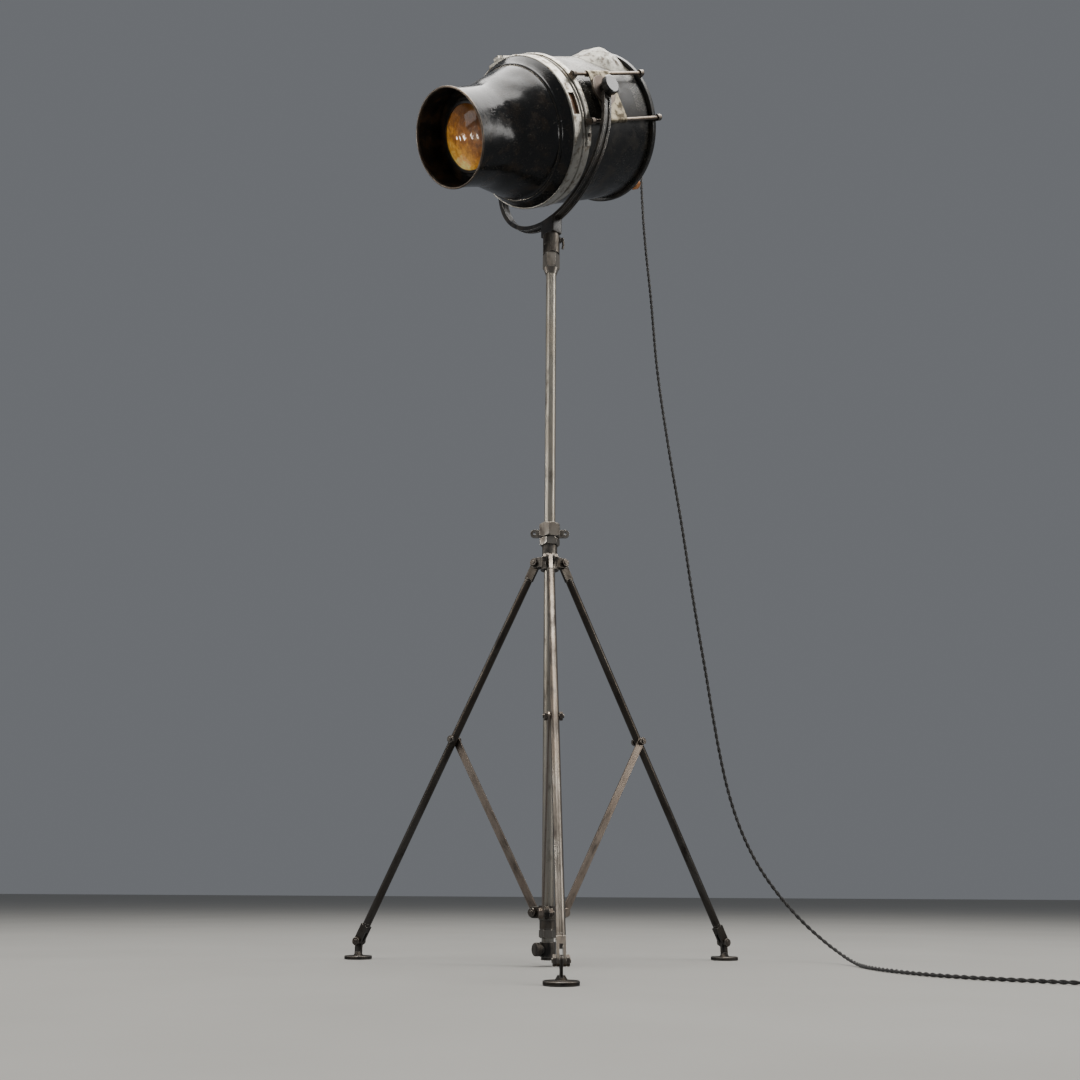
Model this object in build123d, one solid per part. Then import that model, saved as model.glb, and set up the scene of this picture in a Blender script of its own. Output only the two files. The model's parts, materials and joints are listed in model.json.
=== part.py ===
from build123d import *
import os
from math import asin, atan2, cos, degrees, hypot, pi, radians, sin, tan

# A studio lamp on a folding steel tripod. Millimetres, +Z up. The origin is at floor level on
# the mast's axis. The tripod folds by sliding its hinge head up the mast, away from the spider.

# ---- driving dimensions ----
mast_radius = 10.0
mast_wall = 1.5
slide_clearance = 0.1
pin_radius = 3.0
pin_clearance = 0.08

foot_circle_radius = 375.0      # from the mast's axis to each foot's pin
hinge_radius = 27.0             # leg hinges and spider pivots, from the mast's axis
hinge_height = 679.0
spider_height = 82.0
foot_pin_height = 30.0
brace_point = 348.0             # along the leg, from its hinge to the brace's bolt
leg_radius = 7.0
leg_wall = 1.5
leg_azimuths = {"front": -87.4, "right": 32.6, "left": 152.6}

bar_width = 13.0
bar_thickness = 3.0
bar_inner_face = -7.4           # the flat bars lie on the clockwise side of their legs

foot_disc_radius = 24.0
foot_disc_height = 6.0

mast_bottom = 14.0
mast_top = 1300.0
receiver_top = 1357.5
tilt_height = 1608.0            # the lamp's tilt axis
pan_angle = 50.5                # the lamp looks to the left of the front
tilt_angle = 29.9               # and down

yoke_radius = 166.0             # the yoke's half width, to the middle of its bar
yoke_straight = 49.0
yoke_bar_width = 18.0
yoke_bar_depth = 9.0

mouth_radius = 91.0
mouth_front = 289.0             # distances along the lamp's axis, from the tilt axis
seam_radius = 126.5
flange_radius = 142.6
flange_front = 97.0
ring_radius = 145.5
ring_front = 96.6
ring_back = 48.0
drum_radius = 142.0
drum_back = -150.0
rim_radius = 150.6
sheet = 1.5

rod_radius = 3.5
rod_side = 150.3                # the balance rods, out from the lamp's axis
rod_levels = (39.6, -57.8)      # and above and below the tilt axis
rod_front = 66.0
rod_back = -156.0
focus_rod_side = 8.0
focus_rod_level = -134.5

cord_diameter = 6.5

# ---- worked out from them ----
leg_run = foot_circle_radius - hinge_radius
leg_drop = hinge_height - foot_pin_height
leg_length = hypot(leg_run, leg_drop)
leg_angle = degrees(atan2(leg_run, leg_drop))
brace_radius = hinge_radius + brace_point * sin(radians(leg_angle))
brace_height = hinge_height - brace_point * cos(radians(leg_angle))
brace_length = hypot(brace_radius - hinge_radius, brace_height - spider_height)
brace_angle = degrees(atan2(brace_radius - hinge_radius, brace_height - spider_height))

os.makedirs("parts", exist_ok=True)
UP = (Align.CENTER, Align.CENTER, Align.MIN)


def save(name, *solids):
    """Writes one node. Several solids are separate pieces that share the node."""
    shape = solids[0] if len(solids) == 1 else Compound(children=list(solids))
    export_step(shape, f"parts/{name}.step")


def disc(radius, low, high):
    """A cylinder on the Z axis from low to high."""
    return Pos(0, 0, low) * Cylinder(radius, high - low, align=UP)


def tube(outer, inner, low, high):
    return disc(outer, low, high) - disc(inner, low - 1, high + 1)


def hexagon(across_flats, low, high):
    """A hexagonal prism on the Z axis with its corners turned off at both ends."""
    prism = extrude(RegularPolygon(across_flats / 2, 6, major_radius=False), high - low)
    corner = across_flats / 2 / cos(radians(30))
    turned = chamfer(Cylinder(corner, high - low, align=UP).edges(), 0.08 * across_flats)
    return Pos(0, 0, low) * (prism & turned)


def along_y(shape):
    """Turns a shape built on +Z so that it lies on +Y."""
    return Rot(-90, 0, 0) * shape


def along_x(shape):
    """Turns a shape built on +Z so that it lies on +X."""
    return Rot(0, 90, 0) * shape


def block(x, y, z):
    """A box between three pairs of limits."""
    corner = (Align.MIN, Align.MIN, Align.MIN)
    return Pos(x[0], y[0], z[0]) * Box(x[1] - x[0], y[1] - y[0], z[1] - z[0], align=corner)


def turned(points):
    """A solid of revolution about the X axis, from a closed outline of (x, radius) points."""
    outline = make_face(Polyline(*[(x, r, 0) for x, r in points], close=True))
    return revolve(outline, Axis.X)


# ---- mast ----
def make_mast():
    save("mast_tube", tube(mast_radius, mast_radius - mast_wall, mast_bottom, mast_top))
    plug = disc(mast_radius - mast_wall, mast_bottom, mast_bottom + 16)
    cap = chamfer(Cylinder(11, 4.5, align=UP).edges(), 0.8)
    save("mast_end_cap", plug + Pos(0, 0, mast_bottom - 4.5) * cap)

    neck = Pos(0, 0, 1270) * Cone(mast_radius + 1, 14.5, 11, align=UP)
    coupling = neck + hexagon(29, 1281, 1314.5)
    coupling -= disc(mast_radius, 1269, mast_top) + disc(8.1, 1280, 1320)
    save("mast_coupling", coupling)

    socket = disc(16.5, 1315, receiver_top)
    socket += Rot(0, 0, -8) * along_x(disc(6, 12, 19)).moved(Location((0, 0, 1347)))
    socket -= Rot(0, 0, 232) * block((14.2, 30), (-30, 30), (1315, 1334))
    socket -= disc(8.1, 1310, receiver_top + 1)
    socket -= Rot(0, 0, -8) * along_x(disc(2.6, 7, 20)).moved(Location((0, 0, 1347)))
    save("spigot_receiver", socket)

    lever_stem = along_x(disc(2.5, 9, 25))
    grip = ThreePointArc((22.5, 0, 0), (24, 0, -10), (22.5, 0, -20))
    handle = sweep(Plane(origin=grip @ 0, z_dir=grip % 0) * Circle(2.4), path=grip)
    hub = along_x(disc(4.5, 19.5, 25))
    lever = lever_stem + hub + handle
    save("receiver_lever", Pos(0, 0, 1347) * Rot(0, 0, -8) * lever)


# ---- tripod ----
def make_spider():
    bore = disc(mast_radius + slide_clearance, 0, 120)
    collar = disc(15, 71, 93) + disc(13.5, 57, 71)
    pins = []
    for azimuth in leg_azimuths.values():
        lug = block((8, hinge_radius), (-7, 1), (spider_height - 9, spider_height + 9))
        lug += Pos(hinge_radius, 0, spider_height) * along_y(disc(9, -7, 1))
        collar += Rot(0, 0, azimuth) * lug
        pin = along_y(disc(pin_radius, -7, 9)) + along_y(hexagon(13, 1, 7))
        pins.append(Rot(0, 0, azimuth) * Pos(hinge_radius, 0, spider_height) * pin)
    for azimuth in leg_azimuths.values():
        hole = Pos(hinge_radius, 0, spider_height) * along_y(disc(pin_radius, -8, 2))
        collar -= Rot(0, 0, azimuth) * hole
    save("spider_collar", collar - bore)
    save("spider_pins", *pins)
    save("spider_nut", hexagon(25, 43, 56.7) - bore)

    screw_turn = Rot(0, 0, 212.6)
    stop = disc(13, 14.6, 37) + screw_turn * Pos(0, 0, 26) * along_x(disc(7, 8, 16))
    stop -= screw_turn * Pos(0, 0, 26) * along_x(disc(4.08, 7, 17))
    save("stop_collar", stop - bore)
    knob = fillet(Cylinder(10.5, 8.5, align=UP).edges(), 1.6)
    screw = along_x(disc(4, 10.4, 18)) + Pos(16.4, 0, 0) * along_x(knob)
    save("stop_screw", screw_turn * Pos(0, 0, 26) * screw)


def make_hinge_head():
    bore = disc(mast_radius + slide_clearance, 600, 800)
    skirt = Pos(0, 0, 663) * Cone(16.5, 13.5, 9, align=UP)
    casting = skirt + disc(13.5, 671, 709)
    bolts = []
    for azimuth in leg_azimuths.values():
        ear = block((6, hinge_radius), (3.3, 7.8), (hinge_height - 9, hinge_height + 9))
        ear += Pos(hinge_radius, 0, hinge_height) * along_y(disc(9, 3.3, 7.8))
        ears = ear + mirror(ear, Plane.XZ)
        casting += Rot(0, 0, azimuth) * ears
        bolt = along_y(disc(pin_radius, -14.5, 14.5))
        bolt += along_y(hexagon(12, 8, 13)) + along_y(hexagon(12, -13, -8))
        bolts.append(Rot(0, 0, azimuth) * Pos(hinge_radius, 0, hinge_height) * bolt)
    for azimuth in leg_azimuths.values():
        hole = Pos(hinge_radius, 0, hinge_height) * along_y(disc(pin_radius, -9, 9))
        casting -= Rot(0, 0, azimuth) * hole
        slot = block((15.5, 50), (-3.3, 3.3), (hinge_height - 14, hinge_height + 20))
        casting -= Rot(0, 0, azimuth) * slot
    save("hinge_head", casting - bore)
    save("hinge_bolts", *bolts)
    save("hinge_head_nut", Rot(0, 0, 12) * hexagon(32, 709.2, 723.5) - bore)

    nut = Rot(0, 0, 25) * hexagon(36, 724.2, 750)
    for side in (0, 180):
        ear = block((14, 28), (-3, 3), (724.6, 739)) + Pos(28, 0, 731.8) * along_y(disc(7.2, -3, 3))
        ear -= Pos(28, 0, 731.8) * along_y(disc(2.6, -4, 4))
        nut += Rot(0, 0, side) * ear
    save("mast_clamp_nut", nut - bore)


def make_leg(name, azimuth):
    """One leg hangs from its hinge along -Z in its own frame, +X outwards, and is then splayed."""
    place = Rot(0, 0, azimuth) * Pos(hinge_radius, 0, hinge_height) * Rot(0, -leg_angle, 0)
    bolt_hole = Pos(0, 0, -brace_point) * along_y(disc(pin_radius, -9, 9))
    shank = tube(leg_radius, leg_radius - leg_wall, -(leg_length - 34), -34)
    save(f"leg_tube_{name}", place * (shank - bolt_hole))

    eye = block((-8, 8), (-3, 3), (-33, 0)) + along_y(disc(8, -3, 3))
    eye += disc(leg_radius, -33.8, -30)
    eye += disc(leg_radius - leg_wall, -52, -33)
    eye -= along_y(disc(pin_radius + pin_clearance, -4, 4))
    save(f"leg_eye_{name}", place * eye)

    bottom = -leg_length
    fork = disc(leg_radius - leg_wall, bottom + 33, bottom + 52)
    fork += disc(leg_radius, bottom + 28, bottom + 33.8)
    fork += block((-7.5, 7.5), (-6.4, 6.4), (bottom, bottom + 30))
    fork += Pos(0, 0, bottom) * along_y(disc(7.5, -6.4, 6.4))
    fork -= block((-9, 9), (-2.4, 2.4), (bottom - 9, bottom + 19))
    fork -= Pos(0, 0, bottom) * along_y(disc(pin_radius, -8, 8))
    save(f"leg_fork_{name}", place * fork)

    middle = along_y(disc(pin_radius, -18.5, 14.6))
    middle += along_y(hexagon(12, 7.2, 12.6)) + along_y(hexagon(12, -16.2, -10.8))
    ankle = along_y(disc(pin_radius, -12.5, 12.5))
    ankle += along_y(hexagon(13, 6.6, 11.2)) + along_y(hexagon(13, -11.2, -6.6))
    bolts = [place * Pos(0, 0, -brace_point) * middle, place * Pos(0, 0, bottom) * ankle]
    save(f"leg_bolts_{name}", *bolts)


def make_brace(name, azimuth):
    """A flat bar from the leg's bolt down and in to the spider's lug."""
    place = Rot(0, 0, azimuth) * Pos(brace_radius, 0, brace_height) * Rot(0, brace_angle, 0)
    faces = (bar_inner_face - bar_thickness, bar_inner_face)
    half = bar_width / 2
    bar = block((-half, half), faces, (-brace_length, 0))
    bar += along_y(disc(half, *faces))
    bar += Pos(0, 0, -brace_length) * along_y(disc(half, *faces))
    bar -= along_y(disc(pin_radius + pin_clearance, -14, -4))
    bar -= Pos(0, 0, -brace_length) * along_y(disc(pin_radius, -14, -4))
    bolt = along_y(disc(pin_radius, faces[0], faces[1]))
    bolt += along_y(hexagon(13, faces[0] - 5.5, faces[0]))
    save(f"brace_{name}", place * bar, place * Pos(0, 0, -brace_length) * bolt)


def make_foot(name, azimuth):
    """A flat disc under a coned hub, with a flat tang up to the pin."""
    place = Rot(0, 0, azimuth) * Pos(foot_circle_radius, 0, 0)
    foot = chamfer(Cylinder(foot_disc_radius, foot_disc_height, align=UP).edges(), 1.0)
    foot += Pos(0, 0, foot_disc_height - 0.5) * Cone(9, 5, 7, align=UP)
    tang = block((-7, 7), (-2, 2), (10, foot_pin_height))
    tang += Pos(0, 0, foot_pin_height) * along_y(disc(7, -2, 2))
    foot += tang
    foot -= Pos(0, 0, foot_pin_height) * along_y(disc(pin_radius + pin_clearance, -3, 3))
    save(f"foot_{name}", place * foot)


# ---- yoke: built with +X forward, +Y to the near side and +Z up, then turned with the lamp ----
forward = (-sin(radians(pan_angle)), -cos(radians(pan_angle)), 0)
yoke_place = Plane(origin=(0, 0, tilt_height), x_dir=forward, z_dir=(0, 0, 1)).location


def make_yoke():
    side, low = yoke_radius, -yoke_straight
    path = Line((0, side, 0), (0, side, low))
    path += ThreePointArc((0, side, low), (0, 0, low - side), (0, -side, low))
    path += Line((0, -side, low), (0, -side, 0))
    start = Plane(origin=(0, side, 0), x_dir=(1, 0, 0), z_dir=(0, 0, -1))
    bar = sweep(start * Rectangle(yoke_bar_width, yoke_bar_depth), path=path)
    outer_face = side + yoke_bar_depth / 2
    channel_path = Line((0, outer_face, -24), (0, outer_face, low))
    channel_path += ThreePointArc(
        (0, outer_face, low), (0, 0, low - outer_face), (0, -outer_face, low)
    )
    channel_path += Line((0, -outer_face, low), (0, -outer_face, -24))
    channel_start = Plane(origin=(0, outer_face, -24), x_dir=(1, 0, 0), z_dir=(0, 0, -1))
    channel = sweep(channel_start * Rectangle(9, 6), path=channel_path)
    faces = (side - yoke_bar_depth / 2, outer_face)
    for sign in (1, -1):
        limits = sorted((sign * faces[0], sign * faces[1]))
        bar += along_y(disc(14, *limits))
    bar -= channel
    bar -= along_y(disc(6 + pin_clearance, -200, 200))
    save("yoke", yoke_place * bar)

    block_top = low - side + 3
    block_low = receiver_top + 0.7 - tilt_height
    body = fillet(Box(24, 38, block_top - block_low, align=UP).edges(), 2)
    body = Pos(0, 0, block_low) * body
    whole_bar = sweep(start * Rectangle(yoke_bar_width + 0.1, yoke_bar_depth + 0.1), path=path)
    spigot = disc(8, 1322 - tilt_height, block_low + 3)
    body = body - whole_bar + spigot
    save("yoke_block", yoke_place * body)


def make_saddle():
    """Two plates that ride the balance rods, each with a pivot stud through the yoke's arm."""
    plate_front, plate_back = 22.0, -42.0
    for side, sign in (("near", 1), ("far", -1)):
        plate = block((plate_back, plate_front), (153.8, 156.3), (rod_levels[1], rod_levels[0]))
        for level in rod_levels:
            curl = Pos(plate_back, rod_side, level) * along_x(disc(6, 0, plate_front - plate_back))
            bore = disc(rod_radius + pin_clearance, -1, plate_front - plate_back + 1)
            plate += curl
            plate -= Pos(plate_back, rod_side, level) * along_x(bore)
        plate = plate - along_y(disc(6, 140, 170))
        if sign < 0:
            plate = mirror(plate, Plane.XZ)
        save(f"saddle_plate_{side}", head_place * plate)
    arm_inside = yoke_radius - yoke_bar_depth / 2
    arm_outside = yoke_radius + yoke_bar_depth / 2
    stud = along_y(disc(6, 153.8, arm_outside + 11.5)) + along_y(disc(9, 150.5, 153.8))
    washer = along_y(tube(30, 6, 156.4, arm_inside - 0.3))
    pair = (stud, washer, mirror(stud, Plane.XZ), mirror(washer, Plane.XZ))
    save("pivot_studs_and_discs", *[head_place * piece for piece in pair])

    knob = fillet(Cylinder(19, 13, align=UP).edges(), 3)
    for turn in range(8):
        knob -= Rot(0, 0, 45 * turn) * Pos(21.5, 0, -1) * Cylinder(4, 16, align=UP)
    knob -= disc(6 + pin_clearance, -1, 11)
    save("tilt_knob", head_place * along_y(Pos(0, 0, arm_outside + 0.7) * knob))
    nut = hexagon(24, arm_outside + 0.7, arm_outside + 10.5) - disc(6, 160, 190)
    save("tilt_nut", head_place * mirror(along_y(nut), Plane.XZ))


# ---- lamp head: +X along its axis towards the mouth, +Y to the near side, +Z up ----
aim = (
    -sin(radians(pan_angle)) * cos(radians(tilt_angle)),
    -cos(radians(pan_angle)) * cos(radians(tilt_angle)),
    -sin(radians(tilt_angle)),
)
head_up = (
    -sin(radians(pan_angle)) * sin(radians(tilt_angle)),
    -cos(radians(pan_angle)) * sin(radians(tilt_angle)),
    cos(radians(tilt_angle)),
)
head_place = Plane(origin=(0, 0, tilt_height), x_dir=aim, z_dir=head_up).location


def make_snoot():
    """Spun sheet: a straight nose, a flare, a rolled seam and the flange that the ring holds."""
    nose_back, seam_front = 208.0, 118.0
    outer = [
        (mouth_front, mouth_radius),
        (nose_back, mouth_radius + 2),
        (nose_back - 12, mouth_radius + 6),
        (seam_front, seam_radius),
        (seam_front - 1, seam_radius + 2.5),
        (seam_front - 4, seam_radius + 3.5),
        (flange_front, flange_radius),
        (flange_front - 5, flange_radius),
    ]
    inner = [(x, r - sheet) for x, r in reversed(outer)]
    shell = turned(outer + inner)
    lip = Pos(mouth_front, 0, 0) * Rot(0, 90, 0) * Torus(mouth_radius - sheet / 2, 1.8)
    save("snoot", head_place * (shell + lip))

    bezel = turned(
        [(228, 62.2), (228, 88.6), (231, 89.2), (233, 89.2), (233, 66), (243.5, 66)]
        + [(243.5, 60.2), (241, 60.2), (241, 62.2)]
    )
    save("lens_bezel", head_place * bezel)
    edge, rear, front, bulge = 61.8, 230.0, 239.0, 17.0
    curve = (edge**2 + bulge**2) / (2 * bulge)
    centre = front + bulge - curve
    half_turn = asin(edge / curve) / 2
    middle = (centre + curve * cos(half_turn), curve * sin(half_turn))
    outline = ThreePointArc((front, edge), middle, (front + bulge, 0))
    outline += Polyline((front + bulge, 0), (rear, 0), (rear, edge), (front, edge))
    save("lens", head_place * revolve(make_face(outline), Axis.X))


def make_ring():
    """The cast ring joins snoot and drum; a colour glass shows in the gate at its side."""
    shelf, bore = flange_front - 5.1, drum_radius - 5
    ring = turned(
        [(ring_front, flange_radius + 0.1), (ring_front, 144.2), (ring_front - 2, ring_radius)]
        + [(74, ring_radius), (72, ring_radius - 2.5), (69, ring_radius - 2.5)]
        + [(67, ring_radius), (63, ring_radius), (63, 144), (ring_back, 144)]
        + [(ring_back, drum_radius + 0.1), (56, drum_radius + 0.1), (56, bore)]
        + [(shelf, bore), (shelf, flange_radius + 0.1)]
    )
    ring -= block((75.5, 91.5), (100, 160), (-37, 5))
    flap = block((76, 93), (-22, 22), (145, 149.5)) + block((79, 90), (-7, 7), (149, 157))
    save("clamp_ring", head_place * (ring + Rot(-4, 0, 0) * flap))
    band = turned(
        [(62.5, 144.1), (62.5, 147.5), (60, 148.5), (51, 148.5), (48.5, 147.5), (48.5, 144.1)]
    )
    sector = Polyline((0, 0), (88, 117), (200, 117), (200, -117), (88, -117), close=True)
    lower = extrude(make_face(sector), 12, both=True)
    band -= Pos(55, 0, 0) * Rot(0, 90, 0) * lower
    save("ring_band", head_place * band)
    screw = disc(3.5, 148.6, 151.6)
    screw_place = head_place * Pos(55.5, 0, 0)
    save("ring_screws", *[screw_place * Rot(angle, 0, 0) * screw for angle in (-120, 120)])
    glass = along_x(disc(drum_radius - 5.2, 84, 87))
    save("amber_glass", head_place * glass)


def make_drum():
    wall = turned(
        [(55.8, drum_radius), (55.8, drum_radius - sheet), (drum_back, drum_radius - sheet)]
        + [(drum_back, drum_radius)]
    )
    save("lamp_drum", head_place * wall)
    inside = drum_radius + 0.1
    cover = turned(
        [(-146, inside), (-146, rim_radius), (-156, rim_radius), (-159, rim_radius - 3)]
        + [(-164, 120), (-168, 60), (-168, 0), (-166.5, 0), (-166.5, 60), (-162.5, 119)]
        + [(-157.5, rim_radius - 6), (-154, inside)]
    )
    rod_hole = Pos(0, focus_rod_side, focus_rod_level) * along_x(disc(4.08, -180, -140))
    cover -= rod_hole
    cover -= along_x(disc(5, -180, -140))
    save("rear_cover", head_place * cover)

    radial = Rot(-43, 0, 0)
    cowl = Pos(0, 0, drum_radius - 14) * Cone(58, 5, 36, align=UP)
    cowl -= Pos(0, 0, drum_radius - 16) * Cone(58, 5, 36, align=UP)
    cowl = Pos(-104, 0, 0) * radial * cowl - along_x(disc(drum_radius + 0.1, -300, 300))
    save("vent_cowl", head_place * cowl)


def make_rods():
    rods, lugs = [], []
    for sign in (1, -1):
        for level in rod_levels:
            turn = degrees(atan2(level, sign * rod_side))
            reach = hypot(level, rod_side)
            rod = along_x(disc(rod_radius, rod_back, rod_front))
            rods.append(head_place * Pos(0, sign * rod_side, level) * rod)
            for low, high, seat in ((54.0, 64.0, 148.6), (-156.0, -146.5, rim_radius + 0.1)):
                lug = block((low, high), (seat - 3, reach), (-6, 6))
                lug += Pos(low, reach, 0) * along_x(disc(6.5, 0, high - low))
                lug = Rot(turn, 0, 0) * lug
                lug -= along_x(disc(seat, -300, 300))
                lug -= Pos(0, sign * rod_side, level) * along_x(disc(rod_radius, -300, 300))
                lugs.append(head_place * lug)
    save("balance_rods", *rods)
    save("rod_lugs", *lugs)


def make_light():
    """The lampholder slides on the focus rod, which a knob behind the rear cover pulls."""
    rod_place = Pos(0, focus_rod_side, focus_rod_level)
    shoe = block((-60, -20), (-30, 30), (-128.5, -124.5))
    shoe += block((-44, -36), (-1, 17), (-138.9, -128))
    shoe -= rod_place * along_x(disc(4, -200, 0))
    post = block((-46, -34), (-6, 6), (-125, -84))
    save("focus_carriage", head_place * (shoe + post))
    save("focus_rod", head_place * rod_place * along_x(disc(4, -190, -20)))
    knob = fillet(Cylinder(12, 17, align=UP).edges(), 4) - disc(4, -1, 13)
    save("focus_knob", head_place * rod_place * Pos(-177, 0, 0) * Rot(0, -90, 0) * knob)
    holder = Pos(-40, 0, 0) * (disc(19, -84, -52) - disc(13.5, -80, -45))
    save("lampholder", head_place * holder)
    bulb = disc(13.3, -79.5, -50) + Pos(0, 0, -50) * Cone(13.3, 24, 28, align=UP)
    bulb += Pos(0, 0, -4) * Sphere(31)
    save("bulb", head_place * Pos(-40, 0, 0) * bulb)


def make_gland():
    nut = Rot(0, -90, 0) * hexagon(19, 168.2, 176)
    cone = Rot(0, -90, 0) * Pos(0, 0, 176) * Cone(7.5, 5.2, 30, align=UP)
    shank = Rot(0, -90, 0) * disc(4.9, 160, 168.2)
    gland = nut + cone + shank - Rot(0, -90, 0) * disc(4.0, 150, 220)
    save("cord_gland", head_place * gland)


# ---- cord: out of the gland, down in one long slack fall, and away over the floor ----
cord_lift = cord_diameter / 2 + 0.2
cord_route = [
    (134.2, 110.5, 1707.5),
    (149.5, 123.1, 1719.0),
    (166.8, 137.6, 1726.5),
    (185.4, 161.3, 1722.0),
    (197.2, 179.2, 1704.0),
    (201.2, 190.6, 1678.0),
    (201.2, 190.4, 1640.0),
    (201.8, 190.2, 1585.0),
    (204.2, 191.0, 1505.0),
    (209.1, 192.5, 1425.0),
    (215.6, 194.5, 1343.0),
    (219.8, 196.0, 1260.0),
    (224.2, 197.5, 1176.0),
    (232.2, 199.5, 1094.0),
    (241.3, 197.7, 1012.0),
    (250.9, 195.8, 930.0),
    (261.9, 194.6, 848.0),
    (271.3, 193.0, 766.0),
    (279.8, 191.0, 684.0),
    (289.6, 189.1, 602.0),
    (301.0, 191.0, 520.0),
    (311.0, 192.0, 438.0),
    (321.8, 192.5, 360.0),
    (334.5, 192.0, 290.0),
    (352.5, 190.0, 226.0),
    (378.0, 185.0, 166.0),
    (412.0, 175.0, 112.0),
    (449.0, 158.0, 66.0),
    (482.0, 128.0, 32.0),
    (502.0, 86.0, 12.0),
    (508.0, 34.0, cord_lift),
    (507.0, -30.0, cord_lift),
    (516.0, -96.0, cord_lift),
    (536.0, -160.0, cord_lift),
    (569.0, -220.0, cord_lift),
    (613.0, -266.0, cord_lift),
    (662.0, -301.0, cord_lift),
    (712.0, -334.0, cord_lift),
    (764.0, -350.0, cord_lift),
]
coil_centre = (806.0, -300.0)
coil_inner, coil_outer = 25.5, 53.0


def corner_radii(points):
    """Each arc takes 0.45 of its shorter run on either side of its corner."""
    found = []
    for before, here, after in zip(points, points[1:], points[2:]):
        incoming, outgoing = Vector(*here) - Vector(*before), Vector(*after) - Vector(*here)
        turn = radians(incoming.get_angle(outgoing))
        found.append(0.45 * min(incoming.length, outgoing.length) / tan(turn / 2))
    return found


def make_cord():
    radii = corner_radii(cord_route)
    path = FilletPolyline(*cord_route, radius=radii)
    print("cord tube length, mm:", round(path.length))
    start = Plane(origin=path @ 0, z_dir=path % 0)
    save("cord_run", sweep(start * Circle(cord_diameter / 2), path=path))

    ring = tube(coil_outer, coil_inner, 0.2, 2 * cord_diameter + 0.2)
    save("cord_coil", Pos(*coil_centre, 0) * ring)

    shell = fillet(Cylinder(19, 30, align=UP).edges().group_by(Axis.Z)[-1], 6)
    shell += Pos(0, 0, 30) * Cone(9, 5.5, 14, align=UP) - disc(cord_diameter / 2, 30, 60)
    pins = [Pos(x, 0, -19) * Cylinder(2.4, 19, align=UP) for x in (-9.5, 9.5)]
    plug = Pos(coil_centre[0] + 67.5, coil_centre[1] + 57, 19.2) * Rot(0, 0, 170) * Rot(-90, 0, 0)
    save("plug", *[plug * piece for piece in [shell, *pins]])


make_mast()
make_spider()
make_hinge_head()
for leg_name, leg_azimuth in leg_azimuths.items():
    make_leg(leg_name, leg_azimuth)
    make_brace(leg_name, leg_azimuth)
    make_foot(leg_name, leg_azimuth)
make_yoke()
make_saddle()
make_snoot()
make_ring()
make_drum()
make_rods()
make_light()
make_gland()
make_cord()
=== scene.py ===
# %% [markdown]
# An old studio spotlight on a folding steel tripod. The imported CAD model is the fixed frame: it
# gives every body and joint its place. Each step below adds one finish or one piece to it.

# %% Frame
import json
import bmesh
import bpy
import numpy as np
from mathutils import Matrix, Vector


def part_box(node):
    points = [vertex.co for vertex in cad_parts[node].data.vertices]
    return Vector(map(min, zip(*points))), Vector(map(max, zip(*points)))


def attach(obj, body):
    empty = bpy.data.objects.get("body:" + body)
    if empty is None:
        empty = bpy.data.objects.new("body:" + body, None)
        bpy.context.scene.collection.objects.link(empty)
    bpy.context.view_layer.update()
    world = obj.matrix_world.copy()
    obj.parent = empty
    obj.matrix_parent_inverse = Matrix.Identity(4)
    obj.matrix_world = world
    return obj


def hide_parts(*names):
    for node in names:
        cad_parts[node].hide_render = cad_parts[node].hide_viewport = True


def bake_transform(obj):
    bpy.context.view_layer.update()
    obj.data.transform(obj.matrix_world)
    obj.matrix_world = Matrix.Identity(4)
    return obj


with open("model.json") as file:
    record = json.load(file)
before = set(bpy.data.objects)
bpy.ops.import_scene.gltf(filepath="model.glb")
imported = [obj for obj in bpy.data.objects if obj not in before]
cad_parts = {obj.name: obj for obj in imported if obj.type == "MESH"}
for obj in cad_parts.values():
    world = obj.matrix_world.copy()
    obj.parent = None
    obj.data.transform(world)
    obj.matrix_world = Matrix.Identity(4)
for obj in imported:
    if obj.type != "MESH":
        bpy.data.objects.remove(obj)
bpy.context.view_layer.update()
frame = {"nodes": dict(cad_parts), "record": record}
scene = bpy.context.scene

# %% [markdown]
# The camera stands low in front of the lamp and looks up at it, as a person crouching would.
# Its place and its tilt come first, because the cords are arranged by what it sees.

# %% Camera
def look_from(place, pitch, roll, lens, shift):
    """Columns of the matrix: right, up and backward, from a pitch above level and a small roll."""
    right, up = np.array((1, 0, 0)), np.array((0, -np.sin(pitch), np.cos(pitch)))
    ahead = np.array((0, np.cos(pitch), np.sin(pitch)))
    across = np.cos(roll) * right + np.sin(roll) * up
    upward = np.cos(roll) * up - np.sin(roll) * right
    data = bpy.data.cameras.new("camera")
    data.lens, data.sensor_width, data.shift_x = lens, 36, shift
    camera = bpy.data.objects.new("camera", data)
    scene.collection.objects.link(camera)
    turn = np.column_stack((across, upward, -ahead))
    camera.matrix_world = Matrix.LocRotScale(Vector(place), Matrix(turn.tolist()), None)
    return camera


scene.camera = look_from((-0.0030, -1.8664, 0.1127), 0.31487, 0.00572, 36.1, -0.0075)
print("camera at", [round(v, 3) for v in scene.camera.location])

# %% [markdown]
# Nearly every new piece here is a sheet bent in space, so two helpers make them all. A grid of
# points with rows and columns becomes a mesh of four-sided faces. A piece of turned or spun
# metal is an outline carried round an axis, which is how a lathe makes it.

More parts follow.
